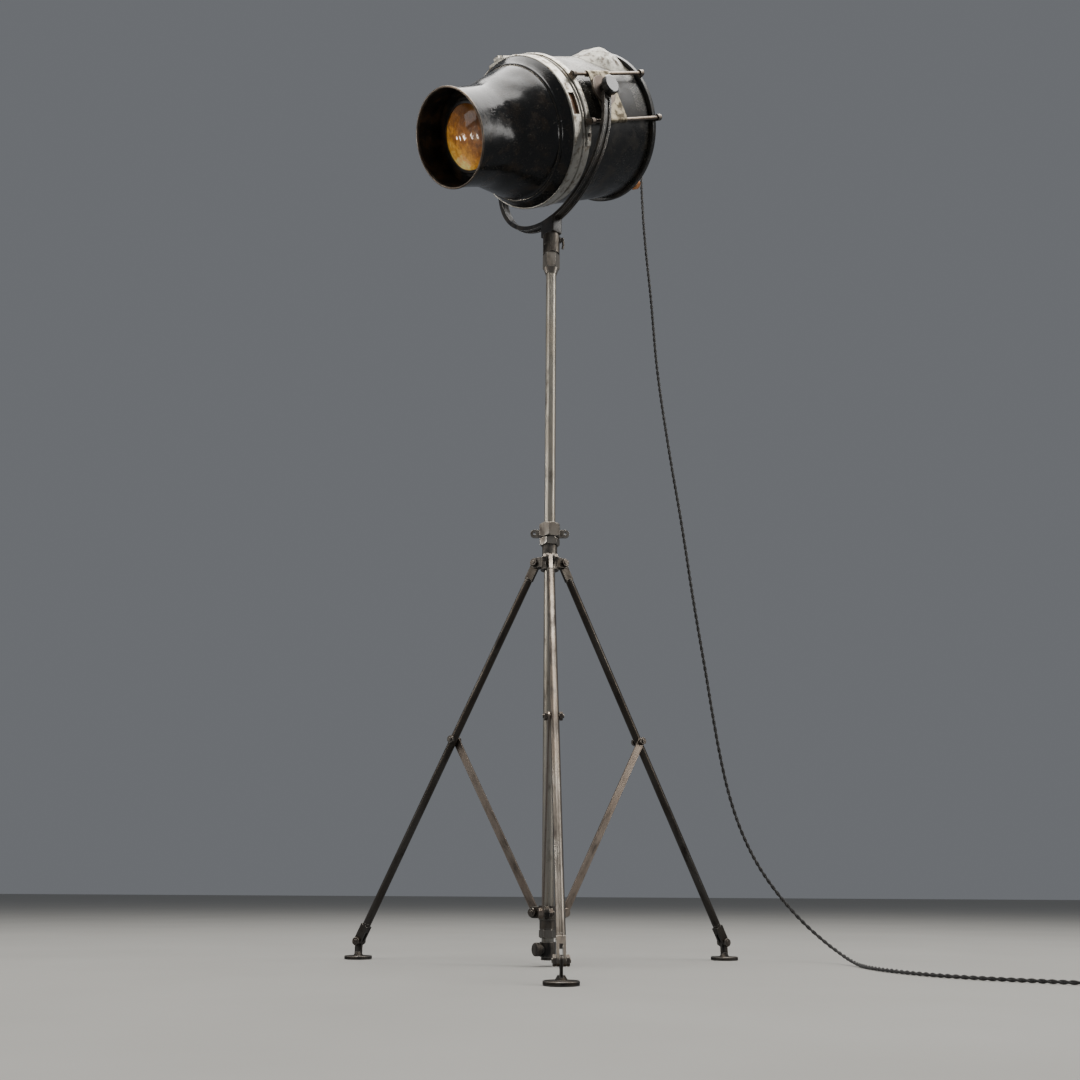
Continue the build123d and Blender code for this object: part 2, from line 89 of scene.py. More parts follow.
# %% Surfaces from grids
def mesh_piece(name, points, faces, body, material, sharp=40, uv=None):
    """Points and faces become an object. Doubled points are merged and normals turned outward."""
    mesh = bpy.data.meshes.new(name)
    mesh.from_pydata(np.asarray(points).reshape(-1, 3).tolist(), [], faces)
    if uv is not None:
        corners = np.empty(len(mesh.loops), int)
        mesh.loops.foreach_get("vertex_index", corners)
        mesh.uv_layers.new(name="cord").data.foreach_set("uv", uv[corners].ravel())
    work = bmesh.new()
    work.from_mesh(mesh)
    bmesh.ops.remove_doubles(work, verts=work.verts, dist=1e-6)
    bmesh.ops.dissolve_degenerate(work, edges=work.edges, dist=1e-7)
    bmesh.ops.recalc_face_normals(work, faces=work.faces)
    work.to_mesh(mesh)
    work.free()
    mesh.shade_smooth()
    mesh.set_sharp_from_angle(angle=np.radians(sharp))
    piece = bpy.data.objects.new(name, mesh)
    scene.collection.objects.link(piece)
    if material:
        mesh.materials.append(material)
    if body:
        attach(piece, body)
    return piece


def grid_faces(rows, columns, wrap_rows=True, wrap_columns=True, first=0):
    """The corner numbers of each four-sided face of a rows by columns grid."""
    i, j = np.meshgrid(
        np.arange(rows if wrap_rows else rows - 1),
        np.arange(columns if wrap_columns else columns - 1),
        indexing="ij",
    )
    a, b = i * columns, (i + 1) % rows * columns
    c, d = j, (j + 1) % columns
    return (first + np.stack((a + c, a + d, b + d, b + c), -1).reshape(-1, 4)).tolist()


def unit(vectors):
    return vectors / np.linalg.norm(vectors, axis=-1, keepdims=True)


def rounded(outline, radius, steps=4):
    """Each corner of a closed outline becomes a curve: q(t) = (1-t)^2 a + 2t(1-t) corner + t^2 b,
    with a and b a radius away from the corner along its two sides."""
    p = np.asarray(outline, float)
    back, ahead = np.roll(p, 1, 0) - p, np.roll(p, -1, 0) - p
    lengths = [np.linalg.norm(side, axis=1, keepdims=True) for side in (back, ahead)]
    a = p + back * np.minimum(radius / lengths[0], 0.45)
    b = p + ahead * np.minimum(radius / lengths[1], 0.45)
    t = np.linspace(0, 1, steps)[:, None, None]
    return (((1 - t) ** 2) * a + 2 * t * (1 - t) * p + t**2 * b).transpose(1, 0, 2).reshape(-1, 2)


# %% [markdown]
# The lamp head points down and to one side, so its pieces are designed along its own axis and
# then turned into place. The tilt joint's axis and the balance slide's axis in the packed
# record say exactly how the head stands, so nothing is fitted by eye.

# %% Head frame
joints = {joint["name"]: joint for joint in frame["record"]["behaviour"]["joints"]}
pivot = np.array(joints["head_tilt"]["pos_m"])
aim = np.array(joints["balance_slide"]["axis"])
near_side = np.array(joints["head_tilt"]["axis"])
head_up = np.cross(aim, near_side)


def in_head(x, radius, angle):
    """Head cylinder coordinates to space: x along the aim, the angle from the near side up."""
    side, height = radius * np.cos(angle), radius * np.sin(angle)
    parts = np.broadcast_arrays(np.asarray(x, float), side, height)
    return pivot + sum(p[..., None] * axis for p, axis in zip(parts, (aim, near_side, head_up)))


def turned(name, outline, body, material, segments=128, radius=0.0006, bumps=None):
    """A closed (x, r) outline carried round the lamp's axis: point(u, v) = axis(x_u) + r_u at
    angle v. bumps(x, angle) is added to r, so that spun sheet can have dents."""
    profile = rounded(outline, radius) if radius else np.asarray(outline, float)
    angle = np.linspace(0, 2 * np.pi, segments, endpoint=False)[None, :]
    x, r = profile[:, :1], profile[:, 1:]
    if bumps:
        r = r + bumps(x, angle)
    points = in_head(x, np.broadcast_to(r, (len(profile), segments)), angle)
    faces = grid_faces(len(profile), segments)
    piece = mesh_piece(name, points, faces, body, material)
    print(name, len(piece.data.polygons), "faces")
    return piece

# %% [markdown]
# The flex hangs from the back of the head to the floor in one slack fall and runs away over it.
# A cord is a line first: a few control points give one smooth spline, which hangs as a real
# cord does because the points already sag. What nobody sees of it is wound into a small coil.

# %% Cord route
CORD = 0.0065
FLOOR = CORD / 2 + 0.0002
top_route = [
    (0.1342, 0.1105, 1.7075),
    (0.1495, 0.1231, 1.7190),
    (0.1668, 0.1376, 1.7265),
    (0.1854, 0.1613, 1.7220),
    (0.1972, 0.1792, 1.7040),
    (0.2012, 0.1906, 1.6780),
    (0.2012, 0.1904, 1.6400),
    (0.2018, 0.1902, 1.5850),
    (0.2042, 0.1910, 1.5050),
]
drop_route = [
    (0.2091, 0.1925, 1.4250),
    (0.2156, 0.1945, 1.3430),
    (0.2198, 0.1960, 1.2600),
    (0.2242, 0.1975, 1.1760),
    (0.2322, 0.1995, 1.0940),
    (0.2413, 0.1977, 1.0120),
    (0.2509, 0.1958, 0.9300),
    (0.2619, 0.1946, 0.8480),
    (0.2713, 0.1930, 0.7660),
    (0.2798, 0.1910, 0.6840),
    (0.2896, 0.1891, 0.6020),
]
floor_route = [
    (0.3010, 0.1910, 0.5200),
    (0.3110, 0.1920, 0.4380),
    (0.3218, 0.1925, 0.3600),
    (0.3345, 0.1920, 0.2900),
    (0.3525, 0.1900, 0.2260),
    (0.3780, 0.1850, 0.1660),
    (0.4120, 0.1750, 0.1120),
    (0.4490, 0.1580, 0.0660),
    (0.4820, 0.1280, 0.0320),
    (0.5020, 0.0860, 0.0120),
    (0.5080, 0.0340, FLOOR),
    (0.5070, -0.0300, FLOOR),
    (0.5160, -0.0960, FLOOR),
    (0.5360, -0.1600, FLOOR),
    (0.5690, -0.2200, FLOOR),
    (0.6130, -0.2660, FLOOR),
    (0.6620, -0.3010, FLOOR),
    (0.7120, -0.3340, FLOOR),
    (0.7640, -0.3500, FLOOR),
]


def coil_points(centre, start, turns, wide, narrow, low, lift):
    """Points on a flat spiral, 14 to a turn: in along the floor, up one diameter, and out again
    on top. The radius changes by one diameter in each turn, so the turns lie side by side."""
    angle = np.radians(start) + np.linspace(0, 2 * np.pi * turns, int(14 * turns))
    share = np.linspace(0, 1, len(angle))
    radius = np.interp(share, (0, 0.53, 0.57, 1), (wide, narrow, narrow, wide + 0.002))
    height = np.interp(share, (0, 0.52, 0.56, 1), (low, low, low + lift, low + lift))
    ring = (centre[0] + radius * np.cos(angle), centre[1] + radius * np.sin(angle), height)
    return np.column_stack(ring)


coil_centre = (0.806, -0.300)
turns = 5 + 65 / 360
coil = coil_points(coil_centre, -95, turns, 0.047, 0.0295, FLOOR, CORD)
plug_low, plug_high = (np.array(corner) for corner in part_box("plug"))
print("coil from", coil[0].round(3), "to", coil[-1].round(3))
print("plug box", plug_low.round(3), plug_high.round(3))

# %% [markdown]
# A finish is a small network of nodes. Writing each node as one line keeps a material readable:
# its kind, what goes into its sockets, and its settings. Effects that several finishes share are
# node groups: wear along edges, patches of patina, drawn streaks, pits and painted shade in corners.

# %% Node helpers
def node(tree, kind, inputs=None, **settings):
    """Adds one shader node. A socket given as an input is linked, and anything else is set."""
    made = tree.nodes.new("ShaderNode" + kind)
    for key, value in settings.items():
        setattr(made, key, value)
    for key, value in (inputs or {}).items():
        if isinstance(value, bpy.types.NodeSocket):
            tree.links.new(value, made.inputs[key])
        else:
            made.inputs[key].default_value = value
    return made


def maths(tree, operation, first, second=0.0, clamp=False):
    inputs = {0: first, 1: second}
    return node(tree, "Math", inputs, operation=operation, use_clamp=clamp).outputs[0]


def blended(tree, factor, first, second, blend_type="MIX"):
    """A colour between two colours."""
    inputs = {0: factor, 6: first, 7: second}
    settings = {"data_type": "RGBA", "blend_type": blend_type}
    return node(tree, "Mix", inputs, **settings).outputs[2]


def spread(tree, value, low, high, to_low=0.0, to_high=1.0):
    """Stretches a value from low..high to to_low..to_high, and holds it there."""
    inputs = {0: value, 1: low, 2: high, 3: to_low, 4: to_high}
    return node(tree, "MapRange", inputs, clamp=True).outputs[0]


def rgb(red, green, blue):
    return (red, green, blue, 1.0)


def shared(name, inputs, output):
    """An empty node group with named inputs and one named output, and its two end nodes."""
    tree = bpy.data.node_groups.new(name, "ShaderNodeTree")
    for label, kind, value in inputs:
        socket = tree.interface.new_socket(label, in_out="INPUT", socket_type=f"NodeSocket{kind}")
        if value is not None:
            socket.default_value = value
    tree.interface.new_socket(output, in_out="OUTPUT", socket_type="NodeSocketFloat")
    return tree, tree.nodes.new("NodeGroupInput").outputs, tree.nodes.new("NodeGroupOutput")


# %% [markdown]
# On a used stand the edges are rubbed bright. The Bevel node gives the normal of a rounded edge,
# and where that differs from the flat face's normal there is an edge. Noise breaks it up.

# %% Shared effects
edge_group, given, out = shared(
    "edge_wear", [("Radius", "Float", 0.001), ("Scale", "Float", 90.0), ("Amount", "Float", 1.0)], "Mask"
)
bevelled = node(edge_group, "Bevel", {"Radius": given["Radius"]}, samples=4)
flat = node(edge_group, "NewGeometry")
alike = node(
    edge_group, "VectorMath", {0: bevelled.outputs[0], 1: flat.outputs["Normal"]}, operation="DOT_PRODUCT"
)
place = node(edge_group, "TexCoord").outputs["Object"]
broken = node(edge_group, "TexNoise", {"Vector": place, "Scale": given["Scale"], "Detail": 4.0})
turn_away = maths(edge_group, "MULTIPLY", maths(edge_group, "SUBTRACT", 1.0, alike.outputs["Value"]), 9.0)
rubbed = maths(edge_group, "MULTIPLY", turn_away, given["Amount"])
rough_edge = maths(edge_group, "ADD", rubbed, maths(edge_group, "SUBTRACT", broken.outputs["Fac"], 0.62))
edge_group.links.new(spread(edge_group, rough_edge, 0.05, 0.55), out.inputs[0])

patch_group, given, out = shared(
    "patches",
    [("Vector", "Vector", None), ("Scale", "Float", 20.0), ("Cover", "Float", 0.4),
     ("Softness", "Float", 0.08)],
    "Mask",
)
cloud = node(
    patch_group, "TexNoise",
    {"Vector": given["Vector"], "Scale": given["Scale"], "Detail": 7.0, "Roughness": 0.62},
).outputs["Fac"]
level = maths(patch_group, "SUBTRACT", 0.72, maths(patch_group, "MULTIPLY", given["Cover"], 0.44))
low_end = maths(patch_group, "SUBTRACT", level, given["Softness"])
high_end = maths(patch_group, "ADD", level, given["Softness"])
patch_group.links.new(spread(patch_group, cloud, low_end, high_end), out.inputs[0])

streak_group, given, out = shared(
    "streaks", [("Vector", "Vector", None), ("Detail", "Float", 3.0)], "Value"
)
drawn = node(streak_group, "TexNoise", {"Vector": given["Vector"], "Scale": 1.0, "Detail": given["Detail"]})
streak_group.links.new(spread(streak_group, drawn.outputs["Fac"], 0.3, 0.7), out.inputs[0])

pit_group, given, out = shared(
    "pits", [("Vector", "Vector", None), ("Scale", "Float", 300.0), ("Share", "Float", 0.2)], "Depth"
)
cells = node(pit_group, "TexVoronoi", {"Vector": given["Vector"], "Scale": given["Scale"]})
chance = node(pit_group, "SeparateColor", {0: cells.outputs["Color"]}).outputs[0]
chosen = maths(pit_group, "LESS_THAN", chance, given["Share"])
hollow = spread(pit_group, cells.outputs["Distance"], 0.0, 0.42, 1.0, 0.0)
pit_group.links.new(maths(pit_group, "MULTIPLY", chosen, hollow), out.inputs[0])

# Painted shade: a mask of one minus ambient occlusion, which darkens colour in corners, recesses and
# between parts.
corner_shade_group, given, out = shared(
    "painted_corner_shade", [("Distance", "Float", 0.006), ("Amount", "Float", 1.0)], "Mask"
)
shade = node(corner_shade_group, "AmbientOcclusion", {"Distance": given["Distance"]}, samples=6)
hidden = maths(corner_shade_group, "SUBTRACT", 1.0, shade.outputs["AO"])
corner_shade_group.links.new(maths(corner_shade_group, "MULTIPLY", hidden, given["Amount"], clamp=True), out.inputs[0])
print("shared effects:", [group.name for group in bpy.data.node_groups])


# %% [markdown]
# Bare steel that has been handled for decades is bright where hands and clamps rub it, and brown
# where they don't. Drawn tube has fine streaks along its length, so the streak pattern is turned
# to each tube's own axis. One function makes every bare metal here from a few values.

# %% Bare metals
def new_material(name):
    """A material with its tree, its Principled shader and Object coordinates."""
    material = bpy.data.materials.new(name)
    material.use_nodes = True
    tree = material.node_tree
    return material, tree, tree.nodes["Principled BSDF"], node(tree, "TexCoord").outputs["Object"]


def use(tree, group, output=0, **inputs):
    """Places a shared effect, with its named inputs."""
    placed = node(tree, "Group", node_tree=group)
    for label, value in inputs.items():
        if isinstance(value, bpy.types.NodeSocket):
            tree.links.new(value, placed.inputs[label])
        else:
            placed.inputs[label].default_value = value
    return placed.outputs[output]


def along(tree, coordinates, axis, across_size, along_size):
    """Coordinates whose Z runs along the axis, divided by the size of the pattern."""
    turn = Vector(axis).to_track_quat("Z", "Y").to_euler()
    sizes = (across_size, across_size, along_size)
    inputs = {"Vector": coordinates, "Rotation": turn, "Scale": sizes}
    return node(tree, "Mapping", inputs, vector_type="TEXTURE").outputs[0]


def bumped(tree, shader, height, distance, radius=0.0006):
    """A bump on top of slightly rounded edges."""
    soft = node(tree, "Bevel", {"Radius": radius}, samples=4)
    inputs = {"Height": height, "Distance": distance, "Normal": soft.outputs[0]}
    tree.links.new(node(tree, "Bump", inputs).outputs[0], shader.inputs["Normal"])


def bare_metal(
    name, bright, brown, dark, cover, rough=(0.26, 0.5), axis=(0, 0, 1), streak=(0.0009, 0.05),
    pitting=0.12,
    edge=0.9, scale=24.0, depth=0.00012,
):
    material, tree, shader, place = new_material(name)
    grain = use(tree, streak_group, Vector=along(tree, place, axis, *streak), Detail=4.0)
    long_place = along(tree, place, axis, 1.0, 3.2)
    brown_mask = use(tree, patch_group, Vector=long_place, Scale=scale, Cover=cover, Softness=0.16)
    dark_mask = use(
        tree, patch_group, Vector=long_place, Scale=scale * 2.7, Cover=cover * 0.6, Softness=0.10
    )
    rubbed = use(tree, edge_group, Radius=0.0012, Scale=130.0, Amount=edge)
    corner_shade = use(tree, corner_shade_group, Distance=0.007, Amount=0.8)
    pits = use(tree, pit_group, Vector=place, Scale=420.0, Share=pitting)
    steel = blended(tree, grain, rgb(*(0.8 * c for c in bright)), rgb(*bright))
    aged = blended(tree, brown_mask, steel, rgb(*brown))
    aged = blended(tree, dark_mask, aged, rgb(*dark))
    # Painted shade in corners, from the ambient occlusion mask, and the real pits both darken the steel
    # here.
    aged = blended(tree, maths(tree, "MAXIMUM", corner_shade, maths(tree, "MULTIPLY", pits, 0.8)), aged, rgb(*dark))
    worn = blended(tree, rubbed, aged, rgb(*(min(1.0, 1.25 * c) for c in bright)))
    tree.links.new(worn, shader.inputs["Base Color"])
    stained = maths(tree, "MAXIMUM", brown_mask, dark_mask)
    dull = maths(tree, "ADD", maths(tree, "MULTIPLY", stained, 0.7), maths(tree, "MULTIPLY", grain, 0.3))
    matt = maths(tree, "SUBTRACT", dull, maths(tree, "MULTIPLY", rubbed, 0.5))
    tree.links.new(spread(tree, matt, 0.0, 1.0, *rough), shader.inputs["Roughness"])
    tree.links.new(spread(tree, dark_mask, 0.0, 1.0, 1.0, 0.75), shader.inputs["Metallic"])
    relief = maths(tree, "SUBTRACT", maths(tree, "MULTIPLY", grain, 0.35), pits)
    bumped(tree, shader, relief, depth)
    return material


STEEL, BROWN, DARK = (0.50, 0.46, 0.40), (0.26, 0.215, 0.17), (0.11, 0.092, 0.077)
mast_steel = bare_metal("mast_steel", (0.66, 0.61, 0.51), (0.42, 0.36, 0.28), DARK, 0.36, (0.28, 0.46))
nut_steel = bare_metal("nut_steel", STEEL, (0.24, 0.20, 0.16), DARK, 0.5, streak=(0.004, 0.0006), edge=1.3)
cast_steel = bare_metal(
    "cast_steel", (0.36, 0.33, 0.29), (0.14, 0.115, 0.09), (0.035, 0.032, 0.03), 0.7, (0.3, 0.6),
    streak=(0.003, 0.003), pitting=0.3, edge=1.5, depth=0.0003,
)
bolt_steel = bare_metal(
    "bolt_steel", (0.30, 0.27, 0.23), (0.14, 0.11, 0.09), DARK, 0.6, streak=(0.002, 0.002), edge=1.3
)
foot_steel = bare_metal(
    "foot_steel", (0.30, 0.28, 0.25), (0.11, 0.09, 0.07), (0.028, 0.026, 0.024), 0.75, (0.3, 0.6),
    streak=(0.002, 0.002), edge=1.4, depth=0.0002,
)
rod_steel = bare_metal("rod_steel", (0.34, 0.28, 0.22), (0.15, 0.11, 0.08), DARK, 0.55, axis=aim)
legs = {}
bars = {}
for side in ("front", "right", "left"):
    hinge = np.array(joints[f"leg_{side}_hinge"]["pos_m"])
    ankle = np.array(joints[f"foot_{side}_swivel"]["pos_m"])
    knee = np.array(joints[f"brace_{side}_hinge"]["pos_m"])
    spider = np.array((*(hinge[:2]), 0.082))
    # Painted shade: the rear legs get the front leg's steel darkened to 0.45, lit and shaded copies of one
    # steel.
    lit_level = 1.0 if side == "front" else 0.45
    bright, brown, dark = (tuple(lit_level * c for c in tone) for tone in (STEEL, BROWN, DARK))
    legs[side] = bare_metal(f"leg_steel_{side}", bright, brown, dark, 0.62, (0.2, 0.4), axis=ankle - hinge)
    bars[side] = bare_metal(
        f"bar_steel_{side}", (0.52, 0.43, 0.35), (0.33, 0.25, 0.19), DARK, 0.45, (0.3, 0.5),
        axis=knee - spider, edge=1.5,
    )
print("bare metals:", len(bpy.data.materials))

# %% [markdown]
# The snoot, drum and yoke wear black stoved enamel. It is glossy where it is whole, so it shows
# soft reflections. Age adds fine pits, dull brown patches where the heat got to it, scratches,
# and bare metal along the edges, where the paint is thinnest. The drum's top is painted pale grey,
# a painted reflection of the light from above on its black paint. Its rear cover is a separate
# pressing with a coat of its own.

# %% Paint
def enamel(
    name, colour, brown, bare, cover, rough=(0.16, 0.5), chips=0.7, pitting=0.2, depth=0.00025, gloss=0.42,
    seed=0.0, top_sheen=None,
):
    material, tree, shader, place = new_material(name)
    shifted = node(tree, "Mapping", {"Vector": place, "Location": (seed, 0.0, 0.0)}).outputs[0]
    scuffs = use(tree, patch_group, Vector=shifted, Scale=11.0, Cover=cover, Softness=0.12)
    heat = use(tree, patch_group, Vector=shifted, Scale=34.0, Cover=cover * 0.8, Softness=0.07)
    scratch = use(
        tree, streak_group, Vector=along(tree, shifted, (0.3, 0.8, 0.5), 0.0012, 0.05), Detail=2.0
    )
    scratched = spread(tree, scratch, 0.86, 0.98)
    rubbed = use(tree, edge_group, Radius=0.0011, Scale=120.0, Amount=chips)
    pits = use(tree, pit_group, Vector=shifted, Scale=330.0, Share=pitting)
    orange_peel = node(tree, "TexNoise", {"Vector": shifted, "Scale": 160.0, "Detail": 2.0}).outputs["Fac"]
    aged = blended(tree, maths(tree, "MULTIPLY", heat, 0.8), rgb(*colour), rgb(*brown))
    aged = blended(tree, maths(tree, "MULTIPLY", scratched, 0.10), aged, rgb(*bare))
    aged = blended(tree, maths(tree, "MULTIPLY", pits, heat), aged, rgb(*(0.22 * c for c in bare)))
    # Painted reflection: above a level on the head's up axis the drum is painted pale grey with dark
    # specks, standing for the overhead light's reflection.
    if top_sheen:
        height = node(
            tree, "VectorMath", {0: place, 1: Vector(head_up)}, operation="DOT_PRODUCT"
        ).outputs["Value"]
        ragged = maths(tree, "MULTIPLY", heat, 0.010)
        level = maths(tree, "SUBTRACT", height, maths(tree, "ADD", ragged, float(head_up @ pivot)))
        sheen_mask = spread(tree, level, 0.036, 0.046)
        speck = node(tree, "TexNoise", {"Vector": shifted, "Scale": 260.0, "Detail": 4.0}).outputs["Fac"]
        grime = maths(tree, "MAXIMUM", spread(tree, speck, 0.50, 0.66), maths(tree, "MULTIPLY", heat, 0.5))
        speckled_sheen = blended(tree, grime, rgb(*top_sheen), rgb(*(0.30 * c for c in top_sheen)))
        aged = blended(tree, sheen_mask, aged, speckled_sheen)
    tree.links.new(blended(tree, rubbed, aged, rgb(*bare)), shader.inputs["Base Color"])
    tree.links.new(rubbed, shader.inputs["Metallic"])
    worn = maths(tree, "ADD", maths(tree, "MULTIPLY", scuffs, 0.6), maths(tree, "MULTIPLY", heat, 0.4))
    tree.links.new(spread(tree, worn, 0.0, 1.0, *rough), shader.inputs["Roughness"])
    relief = maths(
        tree, "SUBTRACT", maths(tree, "MULTIPLY", orange_peel, 0.4), maths(tree, "MULTIPLY", pits, 0.7)
    )
    shader.inputs["Specular IOR Level"].default_value = gloss
    bumped(tree, shader, relief, depth)
    return material


BARE = (0.42, 0.38, 0.32)
WORN = (0.5, 0.48, 0.43)
black_enamel = enamel(
    "black_enamel", (0.007, 0.007, 0.007), (0.022, 0.015, 0.009), BARE, 0.42, (0.13, 0.40)
)
# The drum's pale top colour is a painted reflection of the light from above.
drum_enamel = enamel(
    "drum_enamel", (0.010, 0.010, 0.010), (0.026, 0.022, 0.017), WORN, 0.5, (0.22, 0.48), 0.9,
    top_sheen=(0.27, 0.25, 0.205),
)
cover_enamel = enamel(
    "cover_enamel", (0.020, 0.020, 0.019), (0.034, 0.029, 0.023), WORN, 0.5, (0.22, 0.48), 0.9
)
yoke_enamel = enamel(
    "yoke_enamel", (0.016, 0.015, 0.014), (0.045, 0.036, 0.028), (0.50, 0.47, 0.42), 0.55,
    (0.2, 0.42), 2.0,
)
mouth_black = enamel(
    "mouth_black", (0.007, 0.006, 0.005), (0.060, 0.030, 0.010), BARE, 0.5, (0.4, 0.7), 0.5
)

brown_paint = enamel("brown_paint", (0.19, 0.075, 0.022), (0.10, 0.040, 0.012), BARE, 0.5, (0.35, 0.55))

# %% [markdown]
# The ring between snoot and drum is cast aluminium that was never painted. Sand casting leaves it
# grainy, and its grooves are darkened with painted shade. The cowl over the lamp's chimney keeps a
# thin cream paint, worn through to bright sheet. The saddle plates are a dull bronze colour.

# %% Light metals
def cast_light(name, bright, grey, stain, cover, rough, depth=0.00035, metallic=0.9, chips=0.6):
    material, tree, shader, place = new_material(name)
    sand = node(tree, "TexNoise", {"Vector": place, "Scale": 700.0, "Detail": 3.0}).outputs["Fac"]
    tone = use(tree, patch_group, Vector=place, Scale=30.0, Cover=0.5, Softness=0.2)
    stains = use(tree, patch_group, Vector=place, Scale=62.0, Cover=cover, Softness=0.06)
    rubbed = use(tree, edge_group, Radius=0.0012, Scale=110.0, Amount=chips)
    corner_shade = use(tree, corner_shade_group, Distance=0.006, Amount=1.0)
    body = blended(tree, tone, rgb(*bright), rgb(*grey))
    body = blended(tree, stains, body, rgb(*stain))
    # Painted shade: grooves and corners darken where ambient occlusion finds nearby surfaces.
    body = blended(tree, corner_shade, body, rgb(*(0.35 * c for c in stain)))
    lit = blended(
        tree, maths(tree, "MULTIPLY", rubbed, 0.6), body, rgb(*(min(1.0, 1.3 * c) for c in bright))
    )
    tree.links.new(lit, shader.inputs["Base Color"])
    shader.inputs["Metallic"].default_value = metallic
    tree.links.new(spread(tree, stains, 0.0, 1.0, *rough), shader.inputs["Roughness"])
    bumped(tree, shader, sand, depth)
    return material


ring_metal = cast_light(
    "ring_aluminium", (0.60, 0.57, 0.50), (0.46, 0.43, 0.37), (0.24, 0.20, 0.15), 0.34, (0.36, 0.55)
)
cowl_metal = cast_light(
    "cowl_metal", (0.50, 0.48, 0.41), (0.34, 0.32, 0.26), (0.14, 0.11, 0.08), 0.36, (0.34, 0.55),
    metallic=0.3,
)
saddle_metal = cast_light(
    "saddle_bronze", (0.40, 0.35, 0.25), (0.28, 0.24, 0.17), (0.10, 0.08, 0.05), 0.45, (0.35, 0.55)
)
brass = cast_light(
    "holder_brass", (0.72, 0.55, 0.26), (0.52, 0.38, 0.17), (0.20, 0.12, 0.05), 0.35, (0.25, 0.45),
    0.0001,
)


# %% [markdown]
# The focus knob is brown Bakelite, a resin filled with wood flour, so two browns swirl through
# it. The tilt knob, the strain relief and the plug are the black kind. Both are glossy.

# %% Bakelite
def bakelite(name, first, second, rough):
    material, tree, shader, place = new_material(name)
    swirl = node(
        tree, "TexNoise", {"Vector": place, "Scale": 150.0, "Detail": 4.0, "Distortion": 2.5}
    ).outputs["Fac"]
    speck = node(tree, "TexNoise", {"Vector": place, "Scale": 900.0, "Detail": 2.0}).outputs["Fac"]
    corner_shade = use(tree, corner_shade_group, Distance=0.004, Amount=0.9)
    colour = blended(tree, spread(tree, swirl, 0.35, 0.65), rgb(*first), rgb(*second))
    # Painted shade: the colour darkens in corners, where ambient occlusion finds nearby surfaces.
    tree.links.new(
        blended(tree, corner_shade, colour, rgb(*(0.3 * c for c in second))), shader.inputs["Base Color"]
    )
    tree.links.new(spread(tree, speck, 0.3, 0.7, rough, rough + 0.2), shader.inputs["Roughness"])
    shader.inputs["Coat Weight"].default_value = 0.8
    shader.inputs["Coat Roughness"].default_value = 0.05
    bumped(tree, shader, speck, 0.00004)
    return material


brown_bakelite = bakelite("brown_bakelite", (0.50, 0.20, 0.045), (0.24, 0.080, 0.018), 0.22)
black_bakelite = bakelite("black_bakelite", (0.022, 0.020, 0.018), (0.012, 0.011, 0.010), 0.2)


# %% [markdown]
# The lens is one thick clear glass. What glows in it is the warm light of the lamp house behind,
# so a disc just behind the glass carries that glow: bright yellow on one side, deep amber and
# brown towards the other. The glints on the glass mirror three small lights.

# %% Glass
def clear_glass(name, tint, rough=0.02, bump=0.0):
    material, tree, shader, place = new_material(name)
    smear = use(tree, patch_group, Vector=place, Scale=60.0, Cover=0.4, Softness=0.2)
    shader.inputs["Transmission Weight"].default_value = 1.0
    shader.inputs["IOR"].default_value = 1.5
    tree.links.new(
        blended(tree, smear, rgb(*tint), rgb(*(0.93 * c for c in tint))), shader.inputs["Base Color"]
    )
    tree.links.new(spread(tree, smear, 0.0, 1.0, rough, rough + 0.05), shader.inputs["Roughness"])
    bumped(tree, shader, smear, bump or 0.00001)
    return material


def glow(name, side, strength):
    """Warm light, brightest on the side that the direction points to."""
    material, tree, shader, place = new_material(name)
    centred = node(
        tree, "VectorMath", {0: place, 1: tuple(pivot + aim * 0.23)}, operation="SUBTRACT"
    ).outputs[0]
    across = node(
        tree, "VectorMath", {0: centred, 1: tuple(side)}, operation="DOT_PRODUCT"
    ).outputs["Value"]
    swirl = node(
        tree, "TexNoise", {"Vector": place, "Scale": 26.0, "Detail": 3.0, "Distortion": 1.2}
    ).outputs["Fac"]
    streak = use(tree, streak_group, Vector=along(tree, place, (0.2, 0.3, 0.9), 0.006, 0.05), Detail=3.0)
    level = maths(tree, "ADD", spread(tree, across, -0.062, 0.062), maths(tree, "MULTIPLY", swirl, 0.6))
    level = maths(tree, "ADD", level, maths(tree, "MULTIPLY", streak, 0.22))
    ramp = node(tree, "ValToRGB", {0: maths(tree, "SUBTRACT", level, 0.42)})
    stops = [(0.0, (0.050, 0.017, 0.003)), (0.35, (0.16, 0.055, 0.008)), (0.6, (0.42, 0.16, 0.018))]
    stops += [(0.82, (0.85, 0.42, 0.05)), (1.0, (1.0, 0.80, 0.22))]
    elements = ramp.color_ramp.elements
    for position, colour in stops[1:-1]:
        elements.new(position)
    for element, (position, colour) in zip(elements, stops):
        element.position, element.color = position, rgb(*colour)
    tree.links.new(ramp.outputs[0], shader.inputs["Base Color"])
    tree.links.new(ramp.outputs[0], shader.inputs["Emission Color"])
    shader.inputs["Emission Strength"].default_value = strength
    shader.inputs["Roughness"].default_value = 0.4
    return material


lens_glass = clear_glass("lens_glass", (0.98, 0.93, 0.84))
bulb_glass = clear_glass("bulb_glass", (0.97, 0.96, 0.93))
amber_pane = clear_glass("amber_glass", (0.95, 0.50, 0.10), 0.15)
warm_glow = glow("warm_glow", unit(-near_side - 0.45 * head_up), 0.35)


# %% [markdown]
# The flex is two cotton-braided cores twisted together. The braid is a fine cross pattern that
# has to wind with each core, so it reads the cord's own UV map: one direction round the core,
# the other along it.

